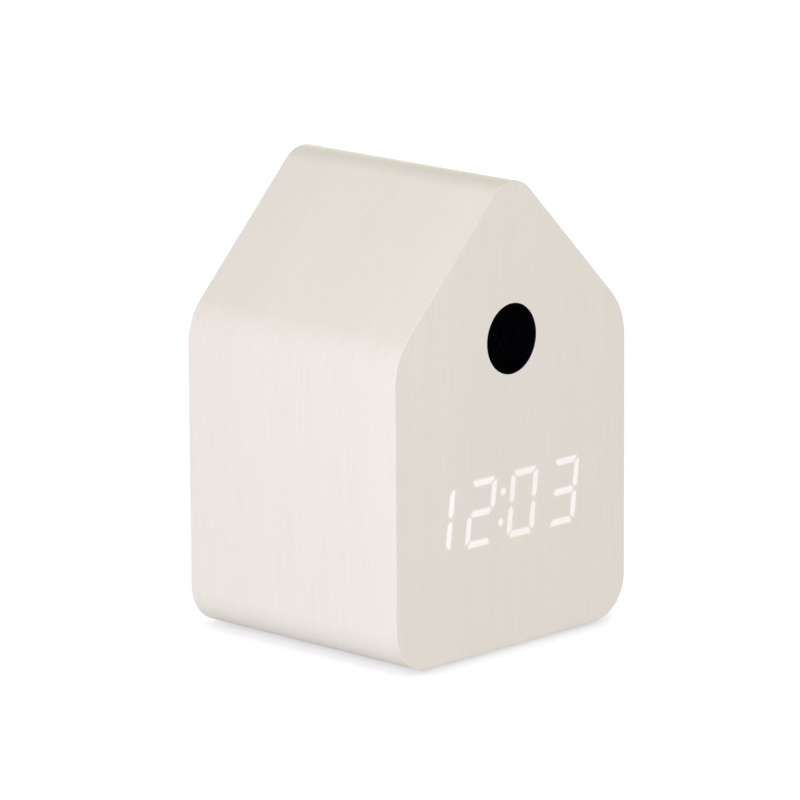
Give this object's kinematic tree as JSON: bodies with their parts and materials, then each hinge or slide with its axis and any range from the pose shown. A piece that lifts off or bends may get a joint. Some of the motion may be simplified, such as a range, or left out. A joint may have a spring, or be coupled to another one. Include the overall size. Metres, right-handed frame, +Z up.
{
  "type": "cuckoo alarm clock",
  "caption": "House-shaped table alarm clock in pale wood veneer: glowing digital time on the front, round sound hole under the ridge, buttons and a hinged battery door at the rear.",
  "frame": {"origin": "middle of the footprint, on the floor under the four foot pads", "axes": "+Z up to the ridge, -Y out of the front with the display, +X to the right seen from the front; the ridge runs along Y"},
  "size_m": [0.1, 0.086, 0.142],
  "materials": {
    "fibreboard": "raw fibreboard",
    "pale_veneer": "whitewashed, matt, fine upright grain",
    "pine": "raw",
    "pad_rubber": "matt",
    "black_plastic": "fine spark texture",
    "grille_black": "matt black",
    "foam": "closed cell foam",
    "plated_steel": "zinc plated",
    "cone_film": "pressed film",
    "magnet": "dark, satin",
    "lead_red": "insulated wire",
    "lead_black": "insulated wire",
    "lit_segment": "translucent, lit",
    "dark_segment": "tinted to match the veneer",
    "circuit_board": "green solder mask",
    "led_chip": "clear over phosphor",
    "cream_plastic": "moulded",
    "ribbon_grey": "flat cable",
    "cover_plastic": "moulded, fine texture",
    "button_plastic": "moulded, satin",
    "screw_steel": "zinc plated",
    "tinned_metal": "tinned",
    "chip_black": "moulded epoxy",
    "capacitor_sleeve": "shrink sleeve over aluminium",
    "cell_sleeve": "plain printed sleeve, no lettering"
  },
  "bodies": {
    "case": {"case_core": "fibreboard", "veneer_wrap": "pale_veneer", "front_board": "fibreboard", "front_veneer": "pale_veneer", "screw_blocks": "pine", "foot_pads": "pad_rubber", "sound_liner": "black_plastic", "liner_screws": "screw_steel", "sound_grille": "grille_black", "speaker_gasket": "foam", "speaker_frame": "plated_steel", "speaker_cone": "cone_film", "speaker_magnet": "magnet", "speaker_leads": "lead_red", "digit_mask": "black_plastic", "lit_segments": "lit_segment", "dark_segments": "dark_segment", "display_board": "circuit_board", "led_chips": "led_chip", "display_screws": "screw_steel", "display_header": "cream_plastic", "display_ribbon": "ribbon_grey", "rear_cover": "cover_plastic", "cover_screws": "screw_steel", "main_board": "circuit_board", "board_screws": "screw_steel", "main_header": "cream_plastic", "clock_chip": "chip_black", "sound_chip": "chip_black", "chip_legs": "tinned_metal", "quartz_crystal": "tinned_metal", "filter_capacitor": "capacitor_sleeve", "chip_resistors": "chip_black", "power_socket": "tinned_metal", "power_tongue": "black_plastic", "switch_bodies": "black_plastic", "battery_box": "black_plastic", "box_screws": "screw_steel", "battery_contacts": "tinned_metal", "battery_springs": "tinned_metal", "battery_cells": "cell_sleeve", "battery_leads": "lead_black"},
    "mode_key": {"mode_button": "button_plastic", "mode_plunger": "black_plastic"},
    "up_key": {"up_button": "button_plastic", "up_plunger": "black_plastic"},
    "down_key": {"down_button": "button_plastic", "down_plunger": "black_plastic"},
    "door": {"battery_door": "cover_plastic"}
  },
  "joints": [
    {"name": "mode_press", "type": "slide", "parent": "case", "child": "mode_key", "axis": [0, -1, 0], "range_m": [0, 0.0005], "stiffness_N_per_m": 2400},
    {"name": "up_press", "type": "slide", "parent": "case", "child": "up_key", "axis": [0, -1, 0], "range_m": [0, 0.0005], "stiffness_N_per_m": 2400},
    {"name": "down_press", "type": "slide", "parent": "case", "child": "down_key", "axis": [0, -1, 0], "range_m": [0, 0.0005], "stiffness_N_per_m": 2400},
    {"name": "door_hinge", "type": "hinge", "parent": "case", "child": "door", "pos_m": [0, 0.0398, 0.01405], "axis": [-1, 0, 0], "range_deg": [0, 90]}
  ]
}
